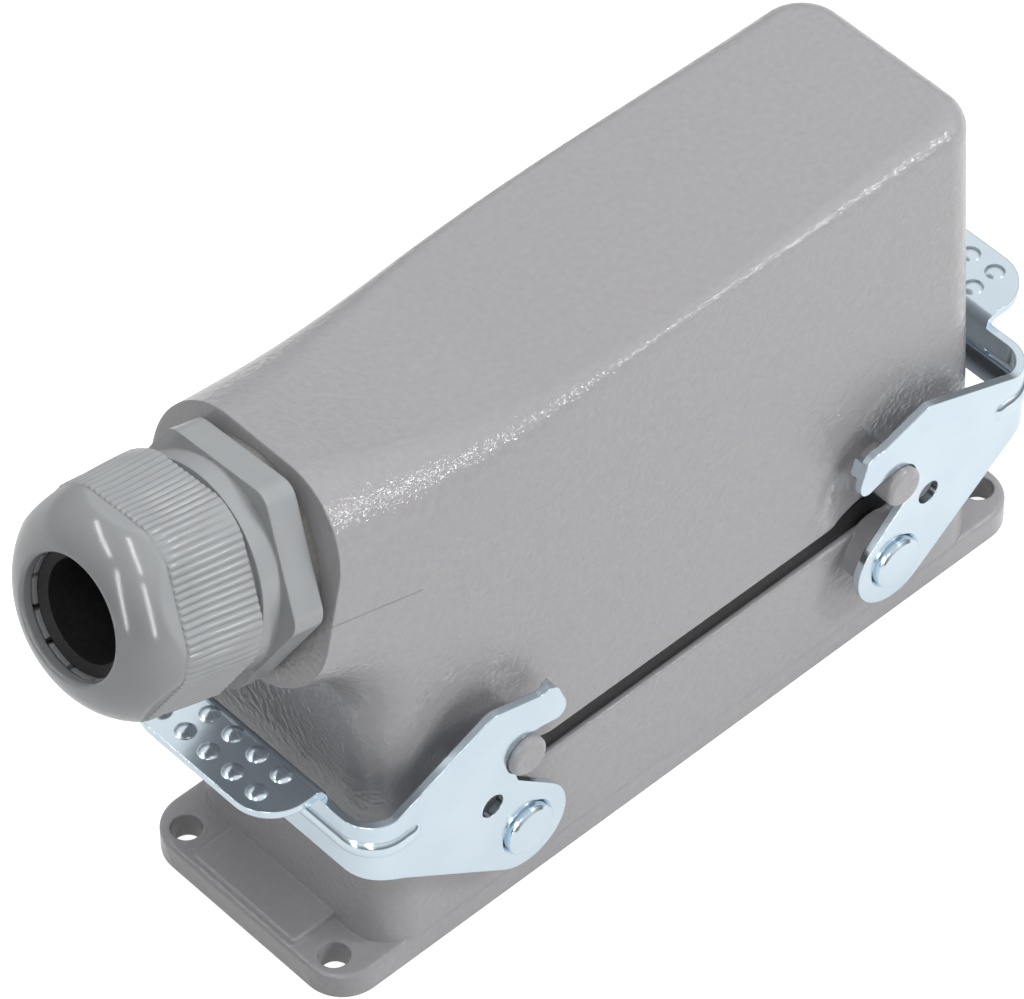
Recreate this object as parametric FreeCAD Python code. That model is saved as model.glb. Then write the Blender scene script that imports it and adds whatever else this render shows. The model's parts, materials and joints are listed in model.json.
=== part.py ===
"""Heavy duty rectangular connector, mated: bulkhead housing, locking levers, hood and cable gland.

Frame: X runs along the connector with the cable gland at -X, Z is up, and the origin is the centre of
the four panel bolts on the underside of the flange. All sizes are in millimetres.
"""
import FreeCAD
import Part
import math
import os

from FreeCAD import Vector

# How far a cutting tool runs past the face that it cuts
beyond = 1.0

# Panel interface and flange
bolt_span_x = 130.0
bolt_span_y = 32.0
bolt_hole_r = 2.4
bolt_margin_x = 4.0
bolt_margin_y = 5.5
flange_length = bolt_span_x + 2 * bolt_margin_x
flange_width = bolt_span_y + 2 * bolt_margin_y
flange_thickness = 4.6
flange_corner_r = 6.5
flange_edge_r = 0.8
flange_block_width = 22.0
flange_block_rise = 1.2

# Housing box
housing_length = 121.0
housing_width = 42.8
housing_top_z = 23.2
housing_corner_r = 7.0
housing_draft = 0.3
housing_rim_edge_r = 0.5
wall = 3.2
cavity_corner_r = 4.0
insert_seat_z = 12.0
insert_post_r = 4.2

# Seals
rim_seal_width = 2.0
rim_seal_inset = 1.0
rim_groove_depth = 1.0
rim_seal_height = 4.6
flange_groove_width = 1.6
flange_groove_depth = 1.4
flange_groove_inset = 0.8

# Hood
hood_setback = 0.5
hood_height = 62.3
hood_bottom_z = housing_top_z + rim_seal_height
hood_top_z = hood_bottom_z + hood_height
hood_length = housing_length - 2 * hood_setback
hood_width = housing_width
hood_draft_end = 2.6
hood_draft_plain_end = 0.2
hood_draft_side = 2.55
hood_corner_r = 7.5
hood_top_edge_r = 3.6
hood_rim_edge_r = 0.6
hood_roof = 3.1
hood_seat_rise = 12.2
hood_seat_z = hood_bottom_z + hood_seat_rise
hood_post_height = 9.0

# Side scoops that clear the lever tips
scoop_x = 41.5
scoop_rise = 7.2
scoop_z = hood_bottom_z + scoop_rise
scoop_half_length = 15.5
scoop_half_height = 19.5
scoop_depth = 1.6
scoop_bulge = 3.2
scoop_edge_r = 6.0

# Locking levers, each bent from one sheet that stands clear of the shells
sheet = 1.3
lever_side_gap = 3.4
lever_end_gap = 4.7
lever_half_width = housing_width / 2 + lever_side_gap + sheet
lever_reach = hood_length / 2 + lever_end_gap + sheet
lever_bend_r = 5.8
lever_side_play = 0.3

# Locking pegs and pivots
peg_x = 36.95
peg_rise = 7.15
peg_z = hood_bottom_z + peg_rise
peg_r = 3.25
peg_proud = 1.3
peg_end_y = lever_half_width + peg_proud
peg_edge_r = 0.8
pivot_x = 36.65
pivot_z = 18.5
pivot_r = 4.2
pivot_proud = 1.2
pivot_end_y = lever_half_width + pivot_proud
pivot_edge = 0.4
pivot_boss_r = 5.7
pivot_press_depth = 2.6
pivot_fit = 0.08

# Lever outline: heights from the peg, and lengths from the peg or back from the lever's end
cross_bottom_z = peg_z - 5.95
cross_top_z = peg_z + 4.65
arm_bottom_x = lever_reach - 4.5
arm_bottom_z = peg_z - 6.95
arm_bottom_r = 10.0
shoulder_x = lever_reach - 5.0
shoulder_z = peg_z + 4.95
shoulder_r = 6.0
finger_top_x = peg_x + 5.65
finger_top_z = peg_z + 12.45
finger_top_r = 3.0
finger_neck_x = peg_x - 3.45
finger_neck_z = peg_z + 9.7
finger_neck_r = 2.0
finger_fold_x = peg_x - 6.2
finger_fold_z = peg_z + 10.0
finger_fold_r = 2.2
finger_tip_x = peg_x - 8.2
finger_tip_z = peg_z + 4.45
finger_tip_r = 3.0
finger_low_x = peg_x - 6.45
finger_low_z = peg_z + 0.55
lobe_r = 1.6
lip_x = peg_x + 1.35
lip_z = peg_z - 4.8
lip_r = 1.0
lip_top_x = peg_x + 2.75
tip_fold = 1.4
tip_fold_margin = 1.6
eye_r = 7.4
eye_chamfer = 0.5
hook_play = 0.2
lever_hole_r = 2.0
lever_hole_x = peg_x + 6.2
lever_hole_z = peg_z - 6.45
bead_z = peg_z
bead_r = 1.9
bead_rise = 0.75
bead_groove_r = 0.9
bead_end_x = lever_reach - 8.0

# Thumb tab of the lever
tab_top_z = cross_top_z + 2.2
tab_length = 9.7
tab_half_width = 16.0
tab_corner_r = 7.0
tab_bend_r = 0.7
dimple_r = 1.6
dimple_rise = 0.6
dimple_wall = 1.0
dimple_pitch_y = 5.05
dimple_pitch_x = 4.5
dimple_row_start = 1.9
dimple_rows = 2
dimples_per_row = 5

# Gland axis: through (gland_root_x, 0, gland_root_z), rising by gland_tilt towards -X
gland_root_x = -hood_length / 2
gland_root_z = hood_top_z - 12.1
gland_tilt = 15.0
neck_end_s = 5.0
neck_half_height = 17.8
neck_corner_r = 12.5
neck_throat_r = 9.0
neck_throat_start_s = -8.0
neck_roof_r = 110.0
neck_roof_start_s = -34.0
bore_reach = 17.0
spigot_r = 14.15
spigot_fit = 0.1
spigot_length = 11.0

# Cable gland
washer_thickness = 1.5
washer_r = 16.2
hexagon_flats = 33.0
hexagon_thickness = 5.2
hexagon_corner_r = 3.2
hexagon_turn = 3.0
collar_r = 16.0
collar_length = 3.6
collar_step_r = 15.1
collar_step_length = 1.0
thread_r = 14.3
thread_length = 5.0
body_bore_r = 11.6
claw_count = 12
claw_slot = 0.9
claw_root_r = 13.2
claw_thickness = 1.3
claw_length = 12.5
claw_tip_r = 11.0
claw_tip_length = 5.0
claw_lip_r = 9.2
nut_gap = 0.4
nut_length = 19.6
nut_rib_length = 9.6
nut_flats = 33.4
nut_corner_r = 8.0
nut_front_scale = 0.955
nut_ribs = 96
nut_rib_depth = 0.35
nut_play = 0.3
dome_r = 11.1
dome_centre_r = 6.5
dome_centre_drop = 11.1
mouth_r = 8.9
mouth_lip_r = 0.6
seal_bore_r = 7.6
seal_length = 19.0
seal_shoulder = 1.0
seal_play = 0.1

# Contact inserts
insert_end_gap = 1.8
insert_side_gap = 1.2
insert_length = housing_length - 2 * (wall + insert_end_gap)
insert_width = housing_width - 2 * (wall + insert_side_gap)
insert_flange = 3.5
insert_corner_r = 3.0
insert_ear = 8.5
insert_ledge = 1.5
insert_body_length = insert_length - 2 * insert_ear
insert_body_width = insert_width - 2 * insert_ledge
insert_screw_margin = 3.5
insert_screw_x = insert_length / 2 - insert_screw_margin
insert_screw_y = insert_width / 2 - insert_screw_margin
insert_screw_r = 1.5
insert_screw_head_r = 2.8
insert_screw_head = 2.0
insert_screw_depth = 6.0
insert_screw_short = 1.0
screw_slot_share = 0.3
insert_play = 0.2
female_bottom_z = 1.5
female_top_z = 33.0
shroud_wall = 1.6
shroud_play = 0.5
male_block_height = 12.0
male_top_z = hood_seat_z + male_block_height
contacts_per_row = 12
contact_pitch = 6.7
contact_row_margin = 8.3
contact_row_y = insert_body_width / 2 - contact_row_margin
socket_r = 2.0
socket_recess = 1.0
pin_r = 1.25
pin_body_r = 2.0
pin_tip_r = 0.75
pin_tip_length = 1.2
pin_tip_gap = 3.0
contact_play = 0.1
clamp_screw_margin = 3.5
clamp_screw_y = insert_body_width / 2 - clamp_screw_margin
clamp_screw_r = 1.6
clamp_screw_length = 5.0
earth_plate_thickness = 1.0
earth_plate_width = 8.0
female_face_z = insert_seat_z + insert_flange
male_face_z = hood_seat_z - insert_flange


def filleted_loop(corners):
    """Closed wire through (point, radius) corners, with a tangent arc at each corner of radius > 0."""
    edges = []
    starts = []
    ends = []
    count = len(corners)
    for i, (point, radius) in enumerate(corners):
        before = corners[i - 1][0]
        after = corners[(i + 1) % count][0]
        to_before = (before - point).normalize()
        to_after = (after - point).normalize()
        if radius <= 0:
            starts.append(point)
            ends.append(point)
            edges.append(None)
            continue
        half = to_before.getAngle(to_after) / 2
        setback = radius / math.tan(half)
        bisector = (to_before + to_after).normalize()
        centre = point + bisector * (radius / math.sin(half))
        start = point + to_before * setback
        end = point + to_after * setback
        starts.append(start)
        ends.append(end)
        edges.append(Part.Arc(start, centre - bisector * radius, end).toShape())
    loop = []
    for i in range(count):
        if edges[i] is not None:
            loop.append(edges[i])
        following = starts[(i + 1) % count]
        if ends[i].distanceToPoint(following) > 1e-6:
            loop.append(Part.makeLine(ends[i], following))
    return Part.Wire(loop)


def rounded_rectangle(length, width, radius, z):
    """Horizontal rounded rectangle centred on the Z axis."""
    x = length / 2
    y = width / 2
    points = [Vector(x, -y, z), Vector(x, y, z), Vector(-x, y, z), Vector(-x, -y, z)]
    return filleted_loop([(point, radius) for point in points])


def rounded_block(length, width, radius, low_z, high_z):
    """Upright block with a rounded rectangular plan."""
    face = Part.Face(rounded_rectangle(length, width, radius, low_z))
    return face.extrude(Vector(0, 0, high_z - low_z))


def side_profile(corners, half_depth):
    """Prism across Y with the outline given as (x, z, radius) corners."""
    loop = filleted_loop([(Vector(x, -half_depth, z), radius) for x, z, radius in corners])
    return Part.Face(loop).extrude(Vector(0, 2 * half_depth, 0))


def mirrored(shape, normal):
    """Copy of a shape mirrored through the origin."""
    return shape.mirror(Vector(0, 0, 0), normal)


def four_corners(x, y):
    """The four points (+-x, +-y) as sign and place pairs."""
    return [(sx * x, sy * y) for sx in (-1, 1) for sy in (-1, 1)]


def fillet_where(shape, radius, wanted):
    """Round the edges of a shape for which wanted(edge) is true."""
    edges = [edge for edge in shape.Edges if wanted(edge)]
    return shape.makeFillet(radius, edges)


def at_height(z, tolerance=0.01):
    """Test for edges that lie wholly at one height."""
    def test(edge):
        box = edge.BoundBox
        return abs(box.ZMin - z) < tolerance and abs(box.ZMax - z) < tolerance
    return test


def gland_point(s, across=0.0, up=0.0):
    """Point at distance s along the gland axis, across in Y and up square to the axis."""
    tilt = math.radians(gland_tilt)
    along = Vector(-math.cos(tilt), 0, math.sin(tilt))
    rise = Vector(math.sin(tilt), 0, math.cos(tilt))
    return Vector(gland_root_x, 0, gland_root_z) + along * s + Vector(0, across, 0) + rise * up


def on_gland_axis(shape):
    """Move a shape built along +Z from the origin onto the gland axis."""
    turn = FreeCAD.Rotation(Vector(0, 1, 0), -(90 - gland_tilt))
    placed = shape.copy()
    placed.Placement = FreeCAD.Placement(Vector(gland_root_x, 0, gland_root_z), turn)
    return placed


def revolved(profile):
    """Solid of revolution about Z from (radius, height) points."""
    points = [Vector(radius, 0, height) for radius, height in profile]
    face = Part.Face(Part.makePolygon(points + points[:1]))
    return face.revolve(Vector(0, 0, 0), Vector(0, 0, 1), 360)


def hood_half_width(z):
    """Outer half width of the hood's drafted side walls at a height."""
    return hood_width / 2 - (z - hood_bottom_z) * math.tan(math.radians(hood_draft_side))


def hood_half_length(z):
    """Outer half length of the hood's drafted end walls at a height."""
    return hood_length / 2 - (z - hood_bottom_z) * math.tan(math.radians(hood_draft_end))


def housing_shell():
    """Die-cast flange and box with the insert posts, pivot bosses and seal grooves."""
    plate = rounded_block(flange_length, flange_width, flange_corner_r, 0, flange_thickness)
    plate = fillet_where(plate, flange_edge_r, at_height(flange_thickness))
    block_top = flange_thickness + flange_block_rise
    block = rounded_block(flange_length - 2 * flange_edge_r, flange_block_width, flange_edge_r,
                          flange_thickness / 2, block_top)
    block = fillet_where(block, flange_edge_r / 2, at_height(block_top))
    box = Part.makeLoft([
        rounded_rectangle(housing_length, housing_width, housing_corner_r, 0),
        rounded_rectangle(housing_length - 2 * housing_draft, housing_width - 2 * housing_draft,
                          housing_corner_r - housing_draft, housing_top_z)], True, True)
    box = fillet_where(box, housing_rim_edge_r, at_height(housing_top_z))
    shell = plate.fuse(block).fuse(box)
    for x, y in four_corners(pivot_x, housing_width / 2 - rim_seal_inset):
        length = boss_face_y() - abs(y)
        side = Vector(0, math.copysign(1, y), 0)
        shell = shell.fuse(Part.makeCylinder(pivot_boss_r, length, Vector(x, y, pivot_z), side))

    cavity = rounded_block(housing_length - 2 * wall, housing_width - 2 * wall, cavity_corner_r,
                           -beyond, housing_top_z + beyond)
    shell = shell.cut(cavity)
    posts = insert_posts(female_bottom_z, insert_seat_z, housing_length / 2 - wall,
                         housing_width / 2 - wall)
    shell = shell.fuse(posts)

    for x, y in four_corners(bolt_span_x / 2, bolt_span_y / 2):
        shell = shell.cut(Part.makeCylinder(bolt_hole_r, 2 * block_top, Vector(x, y, -beyond)))
    for x, y in four_corners(insert_screw_x, insert_screw_y):
        start = Vector(x, y, insert_seat_z - insert_screw_depth)
        shell = shell.cut(Part.makeCylinder(insert_screw_r, 2 * insert_screw_depth, start))
    for x, y in four_corners(pivot_x, boss_face_y() - pivot_press_depth):
        side = Vector(0, math.copysign(1, y), 0)
        shell = shell.cut(Part.makeCylinder(pivot_r, 2 * pivot_press_depth, Vector(x, y, pivot_z), side))
    shell = shell.cut(rim_strip(housing_top_z - rim_groove_depth, housing_top_z + beyond))
    shell = shell.cut(flange_strip(-beyond))
    return shell.removeSplitter()


def boss_face_y():
    """Outer face of the pivot bosses, just inside the lever's cheek."""
    return lever_half_width - sheet - lever_side_play


def insert_posts(low_z, high_z, inner_x, inner_y):
    """Four posts in the corners of a shell that an insert's screws go into."""
    posts = []
    for x, y in four_corners(insert_screw_x, insert_screw_y):
        corner_x = math.copysign(inner_x + wall / 2, x)
        corner_y = math.copysign(inner_y + wall / 2, y)
        inside_x = x - math.copysign(insert_post_r, x)
        inside_y = y - math.copysign(insert_post_r, y)
        loop = filleted_loop([
            (Vector(corner_x, corner_y, low_z), 2 * wall),
            (Vector(inside_x, corner_y, low_z), 0),
            (Vector(inside_x, inside_y, low_z), insert_post_r / 2),
            (Vector(corner_x, inside_y, low_z), 0)])
        posts.append(Part.Face(loop).extrude(Vector(0, 0, high_z - low_z)))
    return posts[0].multiFuse(posts[1:])


def rim_strip(low_z, high_z):
    """Closed strip that runs round the housing's rim between two heights."""
    inset = 2 * (housing_draft + rim_seal_inset)
    return closed_strip(housing_length - inset, housing_width - inset, housing_corner_r - rim_seal_inset,
                        rim_seal_width, low_z, high_z)


def flange_strip(low_z):
    """Closed strip in the flange's underside, round the panel cut-out."""
    inset = 2 * flange_groove_inset
    return closed_strip(housing_length - inset, housing_width - inset,
                        housing_corner_r - flange_groove_inset, flange_groove_width, low_z,
                        flange_groove_depth)


def closed_strip(length, width, radius, strip_width, low_z, high_z):
    """Rounded rectangular ring of one width between two heights."""
    outer = rounded_block(length, width, radius, low_z, high_z)
    inner = rounded_block(length - 2 * strip_width, width - 2 * strip_width, radius - strip_width,
                          low_z, high_z)
    return outer.cut(inner)


def rim_seal():
    """Rubber strip in the rim groove that the hood presses on."""
    return rim_strip(housing_top_z - rim_groove_depth, hood_bottom_z)


def flange_seal():
    """Rubber ring that seals the flange to the panel, flush with its underside."""
    return flange_strip(0)


def pivot_pin(sx, sy):
    """Steel pin pressed into the housing, on which a lever's eye turns."""
    seat_y = boss_face_y() - pivot_press_depth
    length = pivot_end_y - seat_y
    pin = revolved([(0, 0), (pivot_r, 0), (pivot_r, length - pivot_edge),
                    (pivot_r - pivot_edge, length), (0, length)])
    turn = FreeCAD.Rotation(Vector(0, 0, 1), Vector(0, sy, 0))
    pin.Placement = FreeCAD.Placement(Vector(sx * pivot_x, sy * seat_y, pivot_z), turn)
    return pin


def hood_side_view():
    """Outline of the hood across its width: end walls, roof, inclined neck and the throat below it."""
    low = hood_length / 2
    high = low - hood_height * math.tan(math.radians(hood_draft_plain_end))
    end_top = gland_point(neck_end_s, 0, neck_half_height)
    end_low = gland_point(neck_end_s, 0, -neck_half_height)
    along = gland_point(0) - gland_point(1)
    roof_reach = (hood_top_z - end_top.z) / along.z
    lean = math.tan(math.radians(hood_draft_end))
    wall_reach = (lean * (end_low.z - hood_bottom_z) - end_low.x - low) / (along.x - lean * along.z)
    return [(Vector(-low, 0, hood_bottom_z), 0), (Vector(low, 0, hood_bottom_z), 0),
            (Vector(high, 0, hood_top_z), 0), (end_top + along * roof_reach, neck_roof_r),
            (end_top, 0), (end_low, 0), (end_low + along * wall_reach, neck_throat_r)]


def hood_blank():
    """Hood with its side view, its drafted side walls and sharp edges."""
    across = Vector(0, hood_width, 0)
    outline = Part.Face(filleted_loop([(point - across, radius) for point, radius in hood_side_view()]))
    prism = outline.extrude(across * 2)
    reach = hood_length
    low_z = hood_bottom_z - wall
    high_z = hood_top_z + neck_half_height
    section = Part.makePolygon([
        Vector(-reach, sy * hood_half_width(z), z)
        for sy, z in ((-1, low_z), (1, low_z), (1, high_z), (-1, high_z), (-1, low_z))])
    return prism.common(Part.Face(section).extrude(Vector(2 * reach, 0, 0)))


def distance_along_gland(point):
    """Distance of a point along the gland's axis."""
    return (point - gland_point(0)).dot(gland_point(1) - gland_point(0))


def side_edge_radius(point):
    """Rounding of the hood's side edges, which grows from the walls to the end of the neck."""
    upper = point.z > gland_root_z
    start_r = hood_top_edge_r if upper else hood_corner_r
    start_s = neck_roof_start_s if upper else neck_throat_start_s
    share = (distance_along_gland(point) - start_s) / (neck_end_s - start_s)
    return start_r + (neck_corner_r - start_r) * min(max(share, 0), 1)


def is_right_corner(edge):
    """Whether an edge of the hood stands upright at the plain end."""
    return edge.BoundBox.Center.x > 0 and edge.BoundBox.ZLength > hood_height / 2


def is_side_edge(edge, tolerance=0.01):
    """Whether an edge of the hood's blank joins a side wall or the plain end to the roof or the neck."""
    centre = edge.CenterOfMass
    at_rim = centre.z < hood_bottom_z + tolerance
    at_neck_end = distance_along_gland(centre) > neck_end_s - tolerance
    across_neck = abs(centre.y) < tolerance and centre.x < 0
    return not (at_rim or at_neck_end or across_neck or is_right_corner(edge))


def hood_envelope():
    """Outer form of the hood: drafted box and neck in one, with edges that round more towards the neck."""
    blank = fillet_where(hood_blank(), hood_corner_r, is_right_corner)
    radii = []
    for i, edge in enumerate(blank.Edges, 1):
        if is_side_edge(edge):
            ends = [edge.firstVertex(True).Point, edge.lastVertex(True).Point]
            radii.append((i, *[side_edge_radius(point) for point in ends]))
    return rounded_edges(blank, radii)


def rounded_edges(shape, radii):
    """Round numbered edges, each with a radius at its start and one at its end."""
    document = FreeCAD.newDocument("rounding")
    base = document.addObject("Part::Feature", "base")
    base.Shape = shape
    fillet = document.addObject("Part::Fillet", "fillet")
    fillet.Base = base
    fillet.Edges = radii
    document.recompute()
    rounded = fillet.Shape.copy()
    FreeCAD.closeDocument(document.Name)
    return rounded


def hood_cavity():
    """Hollow of the hood, with the gland's bore running into it."""
    low = rounded_rectangle(hood_length - 2 * wall, hood_width - 2 * wall, hood_corner_r - wall,
                            hood_bottom_z - beyond)
    roof_z = hood_top_z - hood_roof
    high = rounded_rectangle(2 * (hood_half_length(roof_z) - wall), 2 * (hood_half_width(roof_z) - wall),
                             hood_corner_r - wall, roof_z)
    hollow = Part.makeLoft([low, high], True, True)
    posts = insert_posts(hood_seat_z, hood_seat_z + hood_post_height, hood_length / 2 - wall,
                         hood_width / 2 - wall)
    bore = on_gland_axis(Part.makeCylinder(spigot_r, neck_end_s + bore_reach + beyond,
                                           Vector(0, 0, -bore_reach)))
    return hollow.cut(posts).fuse(bore)


def side_scoop(sx, sy):
    """Shallow scoop in a side wall, where a lever's finger swings."""
    ball = Part.makeSphere(1.0)
    stretch = FreeCAD.Matrix()
    stretch.scale(Vector(scoop_half_length, scoop_bulge, scoop_half_height))
    scoop = ball.transformGeometry(stretch)
    wall_y = hood_half_width(scoop_z)
    scoop.translate(Vector(sx * scoop_x, sy * (wall_y + scoop_bulge - scoop_depth), scoop_z))
    return scoop


def is_scoop_rim(edge):
    """Whether an edge is the curved rim of a side scoop in a side wall."""
    box = edge.BoundBox
    beside = abs(abs(box.Center.x) - scoop_x) < scoop_half_length / 2
    tall = box.ZMax > scoop_z and box.ZMin < scoop_z
    return beside and tall and box.XLength > scoop_half_length and box.YLength < scoop_bulge


def peg(sx, sy):
    """Cast locking peg with a rounded end, standing out of a side wall."""
    root_y = hood_half_width(peg_z) - wall / 2
    length = peg_end_y - root_y
    stub = Part.makeCylinder(peg_r, length)
    stub = fillet_where(stub, peg_edge_r, at_height(length))
    turn = FreeCAD.Rotation(Vector(0, 0, 1), Vector(0, sy, 0))
    stub.Placement = FreeCAD.Placement(Vector(sx * peg_x, sy * root_y, peg_z), turn)
    return stub


def hood_shell():
    """Die-cast hood: hollow, with insert posts, four pegs, side scoops and the gland's bore."""
    shell = hood_envelope()
    for sx, sy in four_corners(1, 1):
        shell = shell.cut(side_scoop(sx, sy))
    shell = fillet_where(shell, scoop_edge_r, is_scoop_rim)
    shell = fillet_where(shell, hood_rim_edge_r, at_height(hood_bottom_z))
    shell = shell.cut(hood_cavity())
    for sx, sy in four_corners(1, 1):
        shell = shell.fuse(peg(sx, sy))
    for x, y in four_corners(insert_screw_x, insert_screw_y):
        shell = shell.cut(Part.makeCylinder(insert_screw_r, 2 * insert_screw_depth,
                                            Vector(x, y, hood_seat_z - insert_screw_depth)))
    return shell.removeSplitter()


def lever_plan(inset, low_z, high_z):
    """Block with the lever's plan: a U's outer outline moved inwards by inset."""
    end_x = -lever_reach + inset
    side_y = lever_half_width - inset
    radius = lever_bend_r - inset
    loop = filleted_loop([
        (Vector(0, -side_y, low_z), 0),
        (Vector(0, side_y, low_z), 0),
        (Vector(end_x, side_y, low_z), radius),
        (Vector(end_x, -side_y, low_z), radius)])
    return Part.Face(loop).extrude(Vector(0, 0, high_z - low_z))


def lever_outline():
    """Side view of the left lever without its eye, as a prism across Y."""
    eye_x = -pivot_x
    corner_x = -arm_bottom_x
    run_x = eye_x - corner_x
    rise_z = arm_bottom_z - pivot_z
    slope = math.atan2(rise_z, run_x)
    tangent = slope - math.acos(eye_r / math.hypot(run_x, rise_z))
    tangent_x = eye_x - eye_r * math.cos(tangent)
    tangent_z = pivot_z + eye_r * math.sin(tangent)
    outside_x = -lever_reach - beyond
    lip_run_x = pivot_x - lip_x
    lip_run_z = lip_z - pivot_z
    lip_root = math.atan2(lip_run_z, lip_run_x) - math.acos(eye_r / math.hypot(lip_run_x, lip_run_z))
    return side_profile([
        (outside_x, cross_top_z, 0),
        (outside_x, cross_bottom_z, 0),
        (corner_x, arm_bottom_z, arm_bottom_r),
        (tangent_x, tangent_z, 0),
        (eye_x, pivot_z, 0),
        (eye_x + eye_r * math.cos(lip_root), pivot_z + eye_r * math.sin(lip_root), 0),
        (-lip_x, lip_z, lip_r),
        (-lip_top_x, finger_low_z, 0),
        (-finger_low_x, finger_low_z, 0),
        (-finger_tip_x, finger_tip_z, finger_tip_r),
        (-finger_fold_x, finger_fold_z, finger_fold_r),
        (-finger_neck_x, finger_neck_z, finger_neck_r),
        (-finger_top_x, finger_top_z, finger_top_r),
        (-shoulder_x, shoulder_z, shoulder_r)], lever_half_width + beyond)


def peg_swing_r():
    """Distance of the peg from the pivot, about which the hook swings."""
    return math.hypot(peg_x - pivot_x, peg_z - pivot_z)


def is_lobe_corner(edge, tolerance=0.01):
    """Whether an edge of the lever's blank is where the hook's slot leaves the finger's lobe."""
    centre = edge.BoundBox.Center
    from_pivot = math.hypot(centre.x + pivot_x, centre.z - pivot_z)
    on_slot = abs(from_pivot - peg_swing_r() - peg_r - hook_play) < tolerance
    return on_slot and centre.x > -finger_neck_x and edge.BoundBox.YLength > lever_half_width


def is_lip_corner(edge, tolerance=0.01):
    """Whether an edge of the lever's blank is where the hook's slot meets the lip below the peg."""
    centre = edge.BoundBox.Center
    from_peg = math.hypot(centre.x + peg_x, centre.z - peg_z)
    on_seat = abs(from_peg - peg_r - hook_play) < tolerance
    return on_seat and centre.z < peg_z and edge.BoundBox.YLength > lever_half_width


def hook_slot():
    """Path of the peg through the lever's hook, as a prism across Y."""
    across = 2 * (lever_half_width + beyond)
    start = Vector(-pivot_x, -across / 2, pivot_z)
    clear_r = peg_r + hook_play
    along_y = Vector(0, 1, 0)
    outer = Part.makeCylinder(peg_swing_r() + clear_r, across, start, along_y)
    inner = Part.makeCylinder(peg_swing_r() - clear_r, across, start, along_y)
    seat_turn = math.degrees(math.atan2(pivot_x - peg_x, peg_z - pivot_z))
    half = Part.makeBox(2 * eye_r + across, across, 4 * eye_r, Vector(0, -across / 2, 0))
    half.rotate(Vector(0, 0, 0), along_y, seat_turn)
    half.translate(Vector(-pivot_x, 0, pivot_z))
    path = outer.cut(inner).common(half)
    seat = Part.makeCylinder(clear_r, across, Vector(-peg_x, -across / 2, peg_z), along_y)
    return path.fuse(seat)


def bead_path(inset, radius):
    """Round bar that follows the bend of the lever at the bead's height, with ball ends."""
    end_x = -lever_reach + inset
    side_y = lever_half_width - inset
    bend = lever_bend_r - inset
    start = Vector(-bead_end_x, -side_y, bead_z)
    finish = Vector(-bead_end_x, side_y, bead_z)
    diagonal = bend * (1 - math.sqrt(0.5))
    edges = [
        Part.makeLine(start, Vector(end_x + bend, -side_y, bead_z)),
        Part.Arc(Vector(end_x + bend, -side_y, bead_z), Vector(end_x + diagonal, -side_y + diagonal, bead_z),
                 Vector(end_x, -side_y + bend, bead_z)).toShape(),
        Part.makeLine(Vector(end_x, -side_y + bend, bead_z), Vector(end_x, side_y - bend, bead_z)),
        Part.Arc(Vector(end_x, side_y - bend, bead_z), Vector(end_x + diagonal, side_y - diagonal, bead_z),
                 Vector(end_x + bend, side_y, bead_z)).toShape(),
        Part.makeLine(Vector(end_x + bend, side_y, bead_z), finish)]
    ring = Part.Wire(Part.makeCircle(radius, start, Vector(1, 0, 0)))
    bar = Part.Wire(edges).makePipeShell([ring], True, True)
    ends = [Part.makeSphere(radius, point) for point in (start, finish)]
    return bar.multiFuse(ends)


def thumb_tab():
    """Horizontal tab bent outwards from the top of the lever's cross plate."""
    end_x = -lever_reach - tab_length
    inner_x = -lever_reach + sheet
    low_z = tab_top_z - sheet
    profile = side_profile([
        (inner_x, bead_z, 0),
        (-lever_reach, bead_z, 0),
        (-lever_reach, low_z, tab_bend_r),
        (end_x, low_z, 0),
        (end_x, tab_top_z, 0),
        (inner_x, tab_top_z, tab_bend_r + sheet)], tab_half_width)
    plan = filleted_loop([
        (Vector(inner_x, -tab_half_width, 0), 0),
        (Vector(inner_x, tab_half_width, 0), 0),
        (Vector(end_x, tab_half_width, 0), tab_corner_r),
        (Vector(end_x, -tab_half_width, 0), tab_corner_r)])
    tab = profile.common(Part.Face(plan).extrude(Vector(0, 0, 2 * tab_top_z)))
    ball_r = (dimple_r ** 2 + dimple_rise ** 2) / (2 * dimple_rise)
    for row in range(dimple_rows):
        x = -lever_reach - dimple_row_start - row * dimple_pitch_x
        for i in range(dimples_per_row):
            y = (i - (dimples_per_row - 1) / 2) * dimple_pitch_y
            centre = Vector(x, y, tab_top_z + dimple_rise - ball_r)
            above = Part.makeBox(2 * ball_r, 2 * ball_r, ball_r,
                                 Vector(x - ball_r, y - ball_r, tab_top_z - sheet / 2))
            tab = tab.fuse(Part.makeSphere(ball_r, centre).common(above))
            tab = tab.cut(Part.makeSphere(ball_r - dimple_wall, centre))
    return tab


def finger_fold(sy):
    """Lip bent inwards along the slanting edge of a finger."""
    top = Vector(-finger_fold_x, 0, finger_fold_z)
    low = Vector(-finger_tip_x, 0, finger_tip_z)
    along = (low - top).normalize()
    inwards = Vector(0, 1, 0).cross(along) * sheet
    start = top + along * tip_fold_margin
    end = low - along * tip_fold_margin
    corners = [start, end, end + inwards, start + inwards]
    depth = Vector(0, sy * (sheet + tip_fold), 0)
    root = Vector(0, sy * lever_half_width, 0)
    face = Part.Face(Part.makePolygon([corner + root for corner in corners + corners[:1]]))
    return face.extrude(-depth)


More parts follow.
